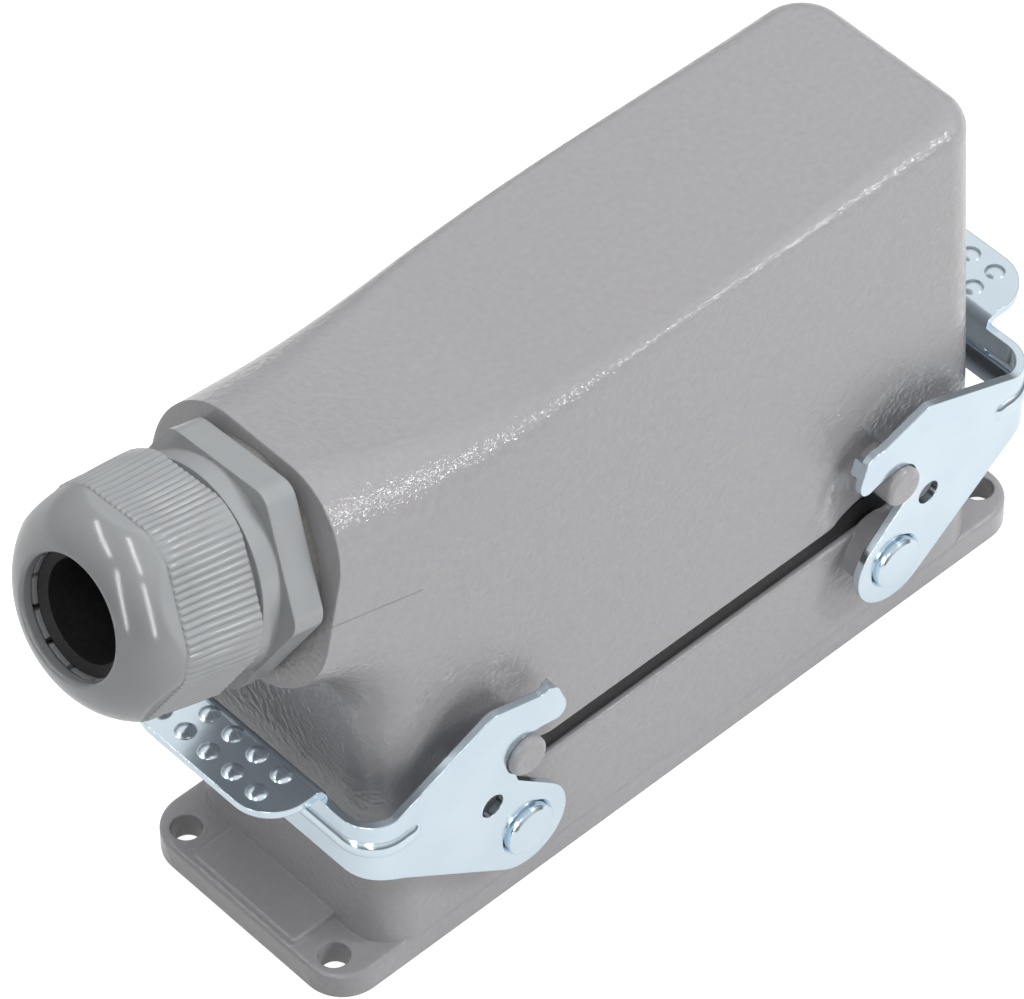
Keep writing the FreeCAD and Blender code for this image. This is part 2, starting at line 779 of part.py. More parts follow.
def lever_left():
    """Locking lever at the gland's end, bent from one sheet."""
    low_z = 0.0
    high_z = 2 * finger_top_z
    bent = lever_plan(0, low_z, high_z).cut(lever_plan(sheet, low_z, high_z))
    across = 2 * (lever_half_width + beyond)
    eye = Part.makeCylinder(eye_r, across, Vector(-pivot_x, -across / 2, pivot_z), Vector(0, 1, 0))
    blank = lever_outline().fuse(eye).cut(hook_slot())
    blank = fillet_where(blank, lobe_r, is_lobe_corner)
    blank = fillet_where(blank, lip_r, is_lip_corner)
    lever = bent.common(blank)
    centre_inset = bead_r - bead_rise
    bead = bead_path(centre_inset, bead_r).cut(lever_plan(sheet, low_z, high_z))
    lever = lever.fuse(bead).cut(bead_path(centre_inset, bead_groove_r))
    lever = lever.fuse(thumb_tab())
    for sy in (-1, 1):
        side = Vector(0, sy, 0)
        inside_y = sy * (lever_half_width - sheet - beyond)
        through = sheet + 2 * beyond
        lever = lever.fuse(finger_fold(sy))
        lever = lever.cut(Part.makeCylinder(pivot_r + pivot_fit, through,
                                            Vector(-pivot_x, inside_y, pivot_z), side))
        flare = Part.makeCone(pivot_r + pivot_fit, pivot_r + pivot_fit + eye_chamfer, eye_chamfer,
                              Vector(-pivot_x, sy * (lever_half_width - eye_chamfer), pivot_z), side)
        lever = lever.cut(flare)
        lever = lever.cut(Part.makeCylinder(lever_hole_r, through,
                                            Vector(-lever_hole_x, inside_y, lever_hole_z), side))
    return lever.removeSplitter()


def lever_right():
    """Locking lever at the plain end, the mirror image of the left one."""
    return mirrored(lever_left(), Vector(1, 0, 0))


def hexagon_loop(flats, radius, height, turn, scale=1.0):
    """Rounded hexagon about the Z axis."""
    corner = flats / math.sqrt(3) * scale
    points = []
    for i in range(6):
        angle = math.radians(60 * i + 90 + turn)
        points.append((Vector(corner * math.cos(angle), corner * math.sin(angle), height), radius))
    return filleted_loop(points)


def stack(*lengths):
    """Running total of lengths along the gland, starting at the neck's end face."""
    return neck_end_s + sum(lengths)


def gland_body():
    """Moulded hexagon with the spigot, the collar, the nut's thread and the clamping claws."""
    back = stack(washer_thickness)
    front = back + hexagon_thickness
    collar = front + collar_length
    step = collar + collar_step_length
    thread = step + thread_length
    tip = thread + claw_length
    bend = tip - claw_tip_length
    round_part = revolved([
        (body_bore_r, back - spigot_length), (spigot_r - spigot_fit, back - spigot_length),
        (spigot_r - spigot_fit, back), (collar_r, back), (collar_r, collar),
        (collar_step_r, collar), (collar_step_r, step), (thread_r, step), (thread_r, thread),
        (claw_root_r, thread), (claw_root_r, bend), (claw_tip_r, tip),
        (claw_lip_r, tip), (claw_lip_r, tip - claw_thickness), (body_bore_r, bend)])
    hexagon = Part.Face(hexagon_loop(hexagon_flats, hexagon_corner_r, back, hexagon_turn))
    hexagon = hexagon.extrude(Vector(0, 0, hexagon_thickness))
    hexagon = hexagon.cut(Part.makeCylinder((body_bore_r + collar_r) / 2, 2 * front))
    body = round_part.fuse(hexagon)
    reach = 2 * claw_root_r
    slots = []
    for i in range(claw_count // 2):
        slot = Part.makeBox(reach, claw_slot, claw_length + beyond,
                            Vector(-reach / 2, -claw_slot / 2, thread))
        slot.rotate(Vector(0, 0, 0), Vector(0, 0, 1), 360 / claw_count * i)
        slots.append(slot)
    body = body.cut(slots[0].multiFuse(slots[1:]))
    return on_gland_axis(body.removeSplitter())


def gland_washer():
    """Flat sealing washer between the hexagon and the neck."""
    return on_gland_axis(revolved([
        (spigot_r, stack()), (washer_r, stack()), (washer_r, stack(washer_thickness)),
        (spigot_r, stack(washer_thickness))]))


def gland_seal():
    """Rubber bush inside the claws that closes on the cable."""
    tip = gland_tip_s()
    rear = tip - seal_length
    outer = body_bore_r - seal_play
    nose = claw_lip_r - seal_play
    return on_gland_axis(revolved([
        (seal_bore_r, rear), (outer, rear), (outer, tip - claw_tip_length - seal_shoulder),
        (nose, tip - 2 * claw_thickness), (nose, tip - claw_thickness / 2),
        (seal_bore_r, tip - claw_thickness)]))


def gland_tip_s():
    """Distance of the claws' tips along the gland's axis."""
    return stack(washer_thickness, hexagon_thickness, collar_length, collar_step_length, thread_length,
                 claw_length)


def ribbed_loop(scale, height):
    """Rounded hexagon with fine ribs round it, as a polygon about the Z axis."""
    flat = nut_flats / 2 * scale
    corner_r = nut_corner_r * scale
    half = math.radians(30)
    corner_centre = (flat - corner_r) / math.cos(half)
    arc_end = math.atan2(corner_r * math.sin(half), corner_centre + corner_r * math.cos(half))
    points = []
    for i in range(2 * nut_ribs):
        angle = 180 / nut_ribs * i
        within = abs(math.radians((angle + 30) % 60 - 30))
        if within > arc_end:
            radius = flat / math.cos(half - within)
        else:
            offset = corner_centre * math.sin(within)
            radius = corner_centre * math.cos(within) + math.sqrt(corner_r ** 2 - offset ** 2)
        radius -= nut_rib_depth if i % 2 else 0
        turn = math.radians(angle + 90 + hexagon_turn)
        points.append(Vector(radius * math.cos(turn), radius * math.sin(turn), height))
    return Part.makePolygon(points + points[:1])


def gland_nut():
    """Ribbed dome nut that closes the claws on the cable."""
    rear = stack(washer_thickness, hexagon_thickness, collar_length, collar_step_length, nut_gap)
    rib_end = rear + nut_rib_length
    front = rear + nut_length
    ribs = Part.makeLoft([ribbed_loop(1.0, rear), ribbed_loop(nut_front_scale, rib_end)], True, True)
    nose = Part.Face(hexagon_loop(nut_flats - 2 * nut_rib_depth, nut_corner_r, rib_end, hexagon_turn,
                                  nut_front_scale))
    nose = nose.extrude(Vector(0, 0, front - rib_end))
    dome_s = front - dome_centre_drop
    rim_s = dome_s + math.sqrt(dome_r ** 2 - (mouth_r + mouth_lip_r - dome_centre_r) ** 2)
    start_r = dome_centre_r + math.sqrt(dome_r ** 2 - (rib_end - dome_s) ** 2)
    middle = math.atan2(rim_s - dome_s, mouth_r + mouth_lip_r - dome_centre_r) / 2
    outside = Part.Arc(
        Vector(start_r, 0, rib_end),
        Vector(dome_centre_r + dome_r * math.cos(middle), 0, dome_s + dome_r * math.sin(middle)),
        Vector(mouth_r + mouth_lip_r, 0, rim_s)).toShape()
    lip = Part.Arc(
        Vector(mouth_r + mouth_lip_r, 0, rim_s),
        Vector(mouth_r + mouth_lip_r * (1 - math.sqrt(0.5)), 0, rim_s - mouth_lip_r * (1 - math.sqrt(0.5))),
        Vector(mouth_r, 0, rim_s - mouth_lip_r)).toShape()
    ends = [Vector(mouth_r, 0, rim_s - mouth_lip_r), Vector(0, 0, rim_s - mouth_lip_r),
            Vector(0, 0, rib_end), Vector(start_r, 0, rib_end)]
    lines = [Part.makeLine(ends[i], ends[i + 1]) for i in range(3)]
    dome = Part.Face(Part.Wire([outside, lip] + lines)).revolve(Vector(0, 0, 0), Vector(0, 0, 1), 360)
    outer = ribs.fuse(nose.common(dome))

    thread_end = rear - nut_gap + thread_length + nut_play
    tip = gland_tip_s()
    bend = tip - claw_tip_length
    bore = revolved([
        (0, rear - beyond), (thread_r + nut_play, rear - beyond), (thread_r + nut_play, thread_end),
        (claw_root_r + nut_play, thread_end), (claw_root_r + nut_play, bend + nut_play / 2),
        (claw_tip_r + nut_play, tip + nut_play), (mouth_r, tip + nut_play), (mouth_r, front + beyond),
        (0, front + beyond)])
    return on_gland_axis(outer.cut(bore).removeSplitter())


def contact_places():
    """Centres of all the contacts in plan."""
    return [((i - (contacts_per_row - 1) / 2) * contact_pitch, sy * contact_row_y)
            for sy in (-1, 1) for i in range(contacts_per_row)]


def insert_carrier(seat_z, up):
    """Mounting plate and wiring block shared by both inserts; up is the direction of the wiring side."""
    plate_far = seat_z - up * insert_flange
    block_far = male_top_z if up > 0 else female_bottom_z
    plate = rounded_block(insert_length, insert_width, insert_corner_r, min(seat_z, plate_far),
                          max(seat_z, plate_far))
    block = rounded_block(insert_body_length, insert_body_width, insert_corner_r, min(plate_far, block_far),
                          max(plate_far, block_far))
    carrier = plate.fuse(block)
    for x, y in four_corners(insert_screw_x, insert_screw_y):
        carrier = carrier.cut(Part.makeCylinder(insert_screw_r + insert_play, 4 * insert_flange,
                                                Vector(x, y, seat_z - 2 * insert_flange)))
    return carrier


def drill(shape, places, radius, low_z, high_z):
    """Cut upright round holes at the given places."""
    holes = [Part.makeCylinder(radius, high_z - low_z, Vector(x, y, low_z)) for x, y in places]
    return shape.cut(holes[0].multiFuse(holes[1:]))


def clamp_places():
    """Centres of all the clamping screws in plan."""
    return [(x, math.copysign(clamp_screw_y, y)) for x, y in contact_places()]


def female_insert():
    """Socket insert: carrier with a block that the pin insert's skirt closes round."""
    carrier = insert_carrier(insert_seat_z, -1)
    inset = 2 * (shroud_wall + shroud_play)
    block = rounded_block(insert_body_length - inset, insert_body_width - inset, insert_corner_r,
                          insert_seat_z, female_top_z)
    insert = carrier.fuse(block)
    insert = drill(insert, contact_places(), socket_r + contact_play, female_bottom_z + insert_flange,
                   female_top_z + beyond)
    insert = drill(insert, clamp_places(), clamp_screw_r + contact_play, female_bottom_z - beyond,
                   female_bottom_z + clamp_screw_length)
    return insert.removeSplitter()


def male_insert():
    """Pin insert: carrier with a skirt that closes round the socket insert."""
    carrier = insert_carrier(hood_seat_z, 1)
    skirt_low = female_face_z + 2 * insert_play
    skirt = rounded_block(insert_body_length, insert_body_width, insert_corner_r, skirt_low, male_face_z)
    inset = 2 * shroud_wall
    skirt = skirt.cut(rounded_block(insert_body_length - inset, insert_body_width - inset,
                                    insert_corner_r - shroud_wall / 2, skirt_low - beyond, male_face_z))
    insert = carrier.fuse(skirt)
    insert = drill(insert, contact_places(), pin_body_r + contact_play, male_face_z - beyond,
                   male_top_z - insert_flange)
    insert = drill(insert, clamp_places(), clamp_screw_r + contact_play, male_top_z - clamp_screw_length,
                   male_top_z + beyond)
    return insert.removeSplitter()


def group(solids):
    """Several separate solids in one node."""
    return Part.makeCompound(solids)


def female_contacts():
    """Turned sockets of the socket insert."""
    low = female_bottom_z + insert_flange
    high = female_top_z - socket_recess
    sockets = []
    for x, y in contact_places():
        socket = revolved([
            (0, low), (socket_r, low), (socket_r, high), (pin_r + contact_play, high),
            (pin_r + contact_play, insert_seat_z), (0, insert_seat_z)])
        socket.translate(Vector(x, y, 0))
        sockets.append(socket)
    return group(sockets)


def male_pins():
    """Turned pins of the pin insert, seated in the sockets."""
    tip_z = insert_seat_z + pin_tip_gap
    top_z = male_top_z - insert_flange
    pins = []
    for x, y in contact_places():
        pin = revolved([
            (0, tip_z), (pin_tip_r, tip_z), (pin_r, tip_z + pin_tip_length), (pin_r, male_face_z),
            (pin_body_r, male_face_z), (pin_body_r, top_z), (0, top_z)])
        pin.translate(Vector(x, y, 0))
        pins.append(pin)
    return group(pins)


def screw(shank_r, head_r, length, head, seat, direction):
    """Cheese-head screw; direction is +1 with its head on top and -1 upside down."""
    body = revolved([(0, -length), (shank_r, -length), (shank_r, 0), (head_r, 0), (head_r, head), (0, head)])
    slot = screw_slot_share * head_r
    body = body.cut(Part.makeBox(2 * head_r, slot, head, Vector(-head_r, -slot / 2, head / 2)))
    if direction < 0:
        body.rotate(Vector(0, 0, 0), Vector(1, 0, 0), 180)
    body.translate(seat)
    return body


def fixing_screws(seat_z, direction):
    """Four screws that hold an insert on its posts."""
    length = insert_flange + insert_screw_depth - insert_screw_short
    return group([
        screw(insert_screw_r, insert_screw_head_r, length, insert_screw_head, Vector(x, y, seat_z), direction)
        for x, y in four_corners(insert_screw_x, insert_screw_y)])


def clamp_screws(face_z, direction):
    """Headless clamping screws, one beside each contact."""
    low = face_z - clamp_screw_length if direction > 0 else face_z
    return group([Part.makeCylinder(clamp_screw_r, clamp_screw_length, Vector(x, y, low))
                  for x, y in clamp_places()])


def earth_plates(seat_z, direction):
    """Two sprung earth plates that lie on the carrier between its end screws."""
    low_x = insert_body_length / 2 + insert_play
    high_x = insert_length / 2 - insert_play
    low_z = min(seat_z, seat_z + direction * earth_plate_thickness)
    return group([Part.makeBox(high_x - low_x, earth_plate_width, earth_plate_thickness,
                               Vector(x, -earth_plate_width / 2, low_z))
                  for x in (-high_x, low_x)])


pieces = {
    "housing_shell": housing_shell,
    "rim_seal": rim_seal,
    "flange_seal": flange_seal,
    "pivot_pin_left_front": lambda: pivot_pin(-1, -1),
    "pivot_pin_left_back": lambda: pivot_pin(-1, 1),
    "pivot_pin_right_front": lambda: pivot_pin(1, -1),
    "pivot_pin_right_back": lambda: pivot_pin(1, 1),
    "lever_left": lever_left,
    "lever_right": lever_right,
    "hood_shell": hood_shell,
    "gland_body": gland_body,
    "gland_washer": gland_washer,
    "gland_seal": gland_seal,
    "gland_nut": gland_nut,
    "female_insert": female_insert,
    "female_contacts": female_contacts,
    "female_clamp_screws": lambda: clamp_screws(female_bottom_z, -1),
    "female_fixing_screws": lambda: fixing_screws(female_face_z, 1),
    "female_earth_plates": lambda: earth_plates(female_face_z, 1),
    "male_insert": male_insert,
    "male_pins": male_pins,
    "male_clamp_screws": lambda: clamp_screws(male_top_z, 1),
    "male_fixing_screws": lambda: fixing_screws(male_face_z, -1),
    "male_earth_plates": lambda: earth_plates(male_face_z, -1),
}


def main():
    """Build every piece and write it as its own STEP file."""
    os.makedirs("parts", exist_ok=True)
    for name, build in pieces.items():
        shape = build()
        shape.exportStep(os.path.join("parts", name + ".step"))
        print(name, len(shape.Solids), shape.isValid(), round(shape.Volume, 1))


main()
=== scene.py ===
"""Studio scene of a mated heavy duty rectangular connector on a pale floor.

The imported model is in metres, with X along the connector, the gland at -X and Z up. Sizes here that
end in _mm are millimetres, and so are all sizes of the gland and the hood. On the gland, s is the
distance from its root along its axis and r is a radius off that axis.
"""

import json
import math

import bmesh
import bpy
import numpy as np
from mathutils import Euler, Matrix, Vector


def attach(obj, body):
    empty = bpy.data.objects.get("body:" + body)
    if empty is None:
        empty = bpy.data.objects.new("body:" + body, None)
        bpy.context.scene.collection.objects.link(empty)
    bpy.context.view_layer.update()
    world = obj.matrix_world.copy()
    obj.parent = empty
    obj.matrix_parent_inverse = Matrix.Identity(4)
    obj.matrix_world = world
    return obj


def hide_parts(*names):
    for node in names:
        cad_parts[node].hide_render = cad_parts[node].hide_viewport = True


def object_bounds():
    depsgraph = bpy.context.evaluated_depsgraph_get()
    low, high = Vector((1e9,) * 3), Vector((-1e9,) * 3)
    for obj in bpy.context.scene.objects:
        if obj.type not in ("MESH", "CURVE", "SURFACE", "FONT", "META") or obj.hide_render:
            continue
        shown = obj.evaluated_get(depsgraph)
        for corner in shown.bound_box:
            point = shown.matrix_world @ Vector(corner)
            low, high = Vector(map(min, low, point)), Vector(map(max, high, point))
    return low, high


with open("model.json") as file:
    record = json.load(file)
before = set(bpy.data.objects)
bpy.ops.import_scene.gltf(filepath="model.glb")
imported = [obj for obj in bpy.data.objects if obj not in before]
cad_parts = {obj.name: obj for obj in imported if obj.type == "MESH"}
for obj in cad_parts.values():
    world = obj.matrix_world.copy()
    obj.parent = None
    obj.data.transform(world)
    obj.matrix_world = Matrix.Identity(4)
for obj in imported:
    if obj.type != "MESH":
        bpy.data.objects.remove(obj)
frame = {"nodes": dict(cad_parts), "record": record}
cad_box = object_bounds()
nodes = frame["nodes"]

# Camera, solved on the photograph's own frame
photo_width_px = 1024
camera_focal_px = 6832.6
camera_place = Vector((-0.4475, -0.4807, 0.7693))
camera_azimuth = -41.975
camera_elevation = 48.037
camera_roll = -1.018
camera_nearest = 0.01
camera_furthest = 20.0
sensor_mm = 36.0

# Lamps, all aimed at the hood's middle: name, place, width, height, watts, whether mirrors show it
aim = Vector((-0.005, 0.0, 0.055))
lamps = (
    ("glint", (0.44, -0.56, 0.56), 0.11, 0.14, 1.4, True),
    ("key", (0.44, -0.56, 0.56), 0.30, 0.30, 1.0, False),
    ("top", (0.40, 0.15, 0.95), 0.80, 0.60, 5.1, False),
    ("side", (0.35, -1.00, 0.22), 0.90, 0.36, 3.0, False),
    ("left", (-0.45, -0.35, 0.90), 0.50, 0.50, 2.6, False),
    ("back", (-0.35, 1.00, 0.25), 0.90, 0.36, 2.4, False),
)

# Strip lamps that only mirrors show, made for the gland's dome: first and last direction from it
strips = (
    ("strip_far_upper", (-0.33, 0.62, 0.71), (-0.72, 0.20, 0.66)),
    ("strip_far_lower", (-0.80, 0.05, 0.59), (-0.98, -0.17, -0.02)),
    ("strip_near_upper", (-0.24, 0.13, 0.96), (-0.52, -0.33, 0.79)),
    ("strip_near_lower", (-0.60, -0.41, 0.69), (-0.70, -0.71, 0.03)),
)
strip_target = Vector((-0.090, -0.006, 0.096))
strip_distance = 0.75
strip_width = 0.05
strip_radiance = 14.0

# How bright the surroundings are to the camera, to mirror rays from low to high, and to all other rays
surroundings_seen = 1.0
surroundings_light = 0.19
mirrored_low = 0.22
mirrored_high = 0.95
mirrored_low_z = 0.12
mirrored_high_z = 0.72

# Floor, a little under the part
floor_half = 4.0
floor_gap = 0.0002
floor_shade = 0.62
floor_mirrored_glow = 0.42
floor_seen_glow = 0.85

# Sharpest angles in degrees that are still shaded smooth
node_smooth_angle = 32
nut_smooth_angle = 58
mark_smooth_angle = 50

# Samples of the shader that rounds edges off
edge_samples = 6

# Gland nut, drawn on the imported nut's own axis
gland_tilt = math.radians(15.0)
gland_root = Vector((-60.0, 0.0, 78.0))
nut_rear_s = 16.7
nut_rib_end_s = 29.4
nut_flats = 33.4
nut_corner_r = 8.0
nut_front_scale = 0.955
nut_front_s = 26.3
nut_turn = math.radians(3.0)
nut_ribs = 96
nut_rib_depth = 0.42
nut_rib_edge = 0.45
nut_crest_power = 0.38
nut_rear_crest = 0.3
nut_steps_per_rib = 10
nut_thread_r = 14.6
nut_thread_end_s = 21.6
nut_claw_r = 13.5
nut_claw_bend_s = 28.95
nut_claw_tip_r = 11.3
nut_claw_tip_s = 34.1
dome_r = 11.1
dome_centre_r = 6.5
dome_centre_s = 25.2
dome_blend = 0.25
mouth_r = 9.25
mouth_lip_r = 0.6

# Rows of points along the nut, those at the ribs' ends as shares of nut_rib_edge
rear_row_shares = (0, 0.06, 0.2, 0.45, 0.75, 1)
rib_end_row_shares = (1, 0.75, 0.5, 0.3, 0.15, 0.06, 0)
rib_rows = 8
dome_rows = 30
lip_rows = 6

# Moulding mark on the hexagon's front, off the gland's axis: its profile is radius and rise
hexagon_front_s = 11.7
mark_up = 14.08
mark_across = -7.05
mark_steps = 28
mark_profile = ((0.62, -0.05), (0.58, 0.08), (0.50, 0.14), (0.40, 0.12), (0.34, 0.02), (0.20, 0.04),
                (0.0, 0.10))

# Die line on each side of the hood's neck, with its ends as (x, z)
hood_bottom_z = 27.8
hood_half_width = 21.4
hood_draft = math.radians(2.55)
die_line_width = 0.30
die_line_height = 0.09
die_line_upper_end = (-65.1, 78.3)
die_line_lower_end = (-49.0, 73.6)


def noise_texture(tree, scale, detail):
    """Noise texture in object coordinates, with its scale in cycles per metre."""
    place = tree.nodes.new("ShaderNodeTexCoord")
    noise = tree.nodes.new("ShaderNodeTexNoise")
    noise.inputs["Scale"].default_value = scale
    noise.inputs["Detail"].default_value = detail
    tree.links.new(place.outputs["Object"], noise.inputs["Vector"])
    return noise.outputs["Fac"]


def colour_ramp(tree, source, low, high, low_colour, high_colour):
    """Ramp from one colour to another as the source goes from low to high."""
    ramp = tree.nodes.new("ShaderNodeValToRGB")
    ramp.color_ramp.elements[0].position = low
    ramp.color_ramp.elements[1].position = high
    ramp.color_ramp.elements[0].color = (*low_colour, 1)
    ramp.color_ramp.elements[1].color = (*high_colour, 1)
    tree.links.new(source, ramp.inputs["Fac"])
    return ramp.outputs["Color"]


def soft_edges(tree, radius_mm):
    """Normal that rounds off every edge by a small radius."""
    node = tree.nodes.new("ShaderNodeBevel")
    node.samples = edge_samples
    node.inputs["Radius"].default_value = radius_mm / 1000
    return node.outputs["Normal"]


def bump(tree, height, distance_mm, strength, below):
    """Bump from a height output, laid on another normal."""
    node = tree.nodes.new("ShaderNodeBump")
    node.inputs["Distance"].default_value = distance_mm / 1000
    node.inputs["Strength"].default_value = strength
    tree.links.new(height, node.inputs["Height"])
    tree.links.new(below, node.inputs["Normal"])
    return node.outputs["Normal"]


def blend_value(tree, factor, low, high):
    """Mix of two values by a factor output; each value may be a number or an output."""
    mix = tree.nodes.new("ShaderNodeMix")
    mix.data_type = "FLOAT"
    factor_socket, _, low_socket, high_socket = mix.inputs[:4]
    tree.links.new(factor, factor_socket)
    for socket, value in ((low_socket, low), (high_socket, high)):
        if isinstance(value, float):
            socket.default_value = value
        else:
            tree.links.new(value, socket)
    return mix.outputs[0]


def principled(name, metallic=0.0, roughness=0.5, specular=0.5):
    """Fresh material with its Principled shader: (material, tree, shader)."""
    material = bpy.data.materials.new(name)
    material.use_nodes = True
    tree = material.node_tree
    shader = tree.nodes["Principled BSDF"]
    shader.inputs["Metallic"].default_value = metallic
    shader.inputs["Roughness"].default_value = roughness
    shader.inputs["Specular IOR Level"].default_value = specular
    return material, tree, shader


def cast_paint():
    """Semi-gloss warm grey powder coat, a matt base under a clear coat with orange peel."""
    material, tree, shader = principled("cast_paint", roughness=0.55, specular=0.25)
    mottle = noise_texture(tree, scale=900, detail=3)
    colour = colour_ramp(tree, mottle, low=0.30, high=0.70, low_colour=(0.345, 0.338, 0.350),
                         high_colour=(0.370, 0.363, 0.376))
    tree.links.new(colour, shader.inputs["Base Color"])
    edges = soft_edges(tree, radius_mm=0.5)
    peel = noise_texture(tree, scale=1050, detail=2)
    fine = noise_texture(tree, scale=2600, detail=2)
    base_normal = bump(tree, peel, distance_mm=0.10, strength=0.35, below=edges)
    tree.links.new(base_normal, shader.inputs["Normal"])
    coat_normal = bump(tree, peel, distance_mm=0.22, strength=1.0, below=edges)
    coat_normal = bump(tree, fine, distance_mm=0.05, strength=1.0, below=coat_normal)
    shader.inputs["Coat Weight"].default_value = 1.0
    shader.inputs["Coat Roughness"].default_value = 0.09
    tree.links.new(coat_normal, shader.inputs["Coat Normal"])
    return material


def zinc_plate():
    """Bright blue-white zinc plate on pressed steel, with faint clouds and wear."""
    material, tree, shader = principled("zinc_plate", metallic=1.0)
    cloud = noise_texture(tree, scale=90, detail=5)
    colour = colour_ramp(tree, cloud, low=0.25, high=0.75, low_colour=(0.62, 0.73, 0.81),
                         high_colour=(0.70, 0.80, 0.87))
    tree.links.new(colour, shader.inputs["Base Color"])
    wear = noise_texture(tree, scale=700, detail=4)
    rough = tree.nodes.new("ShaderNodeMapRange")
    rough.inputs["To Min"].default_value = 0.12
    rough.inputs["To Max"].default_value = 0.20
    tree.links.new(wear, rough.inputs["Value"])
    tree.links.new(rough.outputs["Result"], shader.inputs["Roughness"])
    edges = soft_edges(tree, radius_mm=0.28)
    normal = bump(tree, wear, distance_mm=0.02, strength=0.25, below=edges)
    tree.links.new(normal, shader.inputs["Normal"])
    return material


def gland_plastic():
    """Glossy cool grey moulded polyamide."""
    material, tree, shader = principled("gland_plastic", roughness=0.13)
    cloud = noise_texture(tree, scale=160, detail=3)
    colour = colour_ramp(tree, cloud, low=0.3, high=0.7, low_colour=(0.345, 0.358, 0.368),
                         high_colour=(0.365, 0.378, 0.388))
    tree.links.new(colour, shader.inputs["Base Color"])
    skin = noise_texture(tree, scale=900, detail=2)
    edges = soft_edges(tree, radius_mm=0.35)
    normal = bump(tree, skin, distance_mm=0.02, strength=0.2, below=edges)
    tree.links.new(normal, shader.inputs["Normal"])
    return material


def plain(name, dark, light, roughness, metallic=0.0, specular=0.5):
    """Plain material for rubber, moulded and turned pieces: two shades and a fine grain."""
    material, tree, shader = principled(name, metallic, roughness, specular)
    grain = noise_texture(tree, scale=1500, detail=3)
    colour = colour_ramp(tree, grain, low=0.3, high=0.7, low_colour=dark, high_colour=light)
    tree.links.new(colour, shader.inputs["Base Color"])
    edges = soft_edges(tree, radius_mm=0.2)
    normal = bump(tree, grain, distance_mm=0.02, strength=0.3, below=edges)
    tree.links.new(normal, shader.inputs["Normal"])
    return material


def slot_materials():
    """The material for every slot of the record."""
    zinc = zinc_plate()
    return {
        "cast_paint": cast_paint(),
        "lever_zinc": zinc,
        "pin_zinc": zinc,
        "gland_plastic": gland_plastic(),
        "washer_plastic": plain("washer_plastic", (0.20, 0.20, 0.19), (0.26, 0.26, 0.25),
                                roughness=0.6),
        "black_rubber": plain("black_rubber", (0.016, 0.016, 0.017), (0.026, 0.026, 0.028),
                              roughness=0.5, specular=0.25),
        "insert_plastic": plain("insert_plastic", (0.42, 0.41, 0.37), (0.50, 0.49, 0.45),
                                roughness=0.5),
        "contact_metal": plain("contact_metal", (0.62, 0.60, 0.54), (0.75, 0.73, 0.68),
                               roughness=0.3, metallic=1.0),
        "screw_steel": plain("screw_steel", (0.50, 0.51, 0.53), (0.66, 0.67, 0.69),
                             roughness=0.35, metallic=1.0),
        "earth_metal": plain("earth_metal", (0.60, 0.58, 0.50), (0.72, 0.70, 0.62),
                             roughness=0.35, metallic=1.0),
    }


def set_material(piece, material):
    """Give a piece one material all over."""
    piece.data.materials.clear()
    piece.data.materials.append(material)


def smooth_by_angle(piece, degrees):
    """Smooth shading that keeps edges sharper than an angle."""
    mesh = piece.data
    mesh.polygons.foreach_set("use_smooth", [True] * len(mesh.polygons))
    mesh.update()
    with bpy.context.temp_override(active_object=piece, object=piece, selected_objects=[piece],
                                   selected_editable_objects=[piece]):
        bpy.ops.object.shade_smooth_by_angle(angle=math.radians(degrees))


def dress_nodes(materials):
    """The slot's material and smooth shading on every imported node."""
    slots = {entry["node"]: entry["material_slot"] for entry in frame["record"]["subparts"]}
    for name, piece in nodes.items():
        set_material(piece, materials[slots[name]])
        smooth_by_angle(piece, node_smooth_angle)


def add_mesh(name, points, faces):
    """New mesh object from points in metres, with its faces turned outwards."""
    mesh = bpy.data.meshes.new(name)
    mesh.from_pydata(points, [], faces)
    shell = bmesh.new()
    shell.from_mesh(mesh)
    bmesh.ops.recalc_face_normals(shell, faces=shell.faces)
    shell.to_mesh(mesh)
    shell.free()
    piece = bpy.data.objects.new(name, mesh)
    bpy.context.scene.collection.objects.link(piece)
    return piece


def ring_band(start, following, steps):
    """Faces between two rings, each given by the index of its first point."""
    return [(start + i, start + (i + 1) % steps, following + (i + 1) % steps, following + i)
            for i in range(steps)]


def on_gland_axis(s, radius, angle):
    """Points in metres from arrays of s, radius and angle, the angle counted from the upper side."""
    along = np.array([-math.cos(gland_tilt), 0.0, math.sin(gland_tilt)])
    rise = np.array([math.sin(gland_tilt), 0.0, math.cos(gland_tilt)])
    across = np.array([0.0, 1.0, 0.0])
    reach = radius[..., None] * (np.cos(angle)[..., None] * rise
                                 + np.sin(angle)[..., None] * across)
    return (np.array(gland_root) + s[..., None] * along + reach) / 1000


def hexagon_radius(angle, scale):
    """Radius of the nut's rounded hexagon, at one scale, at angles from one of its corners."""
    sector = math.radians(60)
    within = np.abs((angle + sector / 2) % sector - sector / 2)
    flat = nut_flats / 2 * scale
    corner = nut_corner_r * scale
    centre = (flat - corner) / math.cos(sector / 2)
    arc_end = math.atan2(corner * math.sin(sector / 2), centre + corner * math.cos(sector / 2))
    straight = flat / np.cos(sector / 2 - within)
    offset = np.minimum(centre * np.sin(within), corner)
    rounded = centre * np.cos(within) + np.sqrt(corner ** 2 - offset ** 2)
    return np.where(within > arc_end, straight, rounded)


def smooth_minimum(a, b, blend):
    """Smaller of two lengths, with a soft change from one to the other."""
    share = np.clip(0.5 + 0.5 * (b - a) / blend, 0, 1)
    return b + (a - b) * share - blend * share * (1 - share)


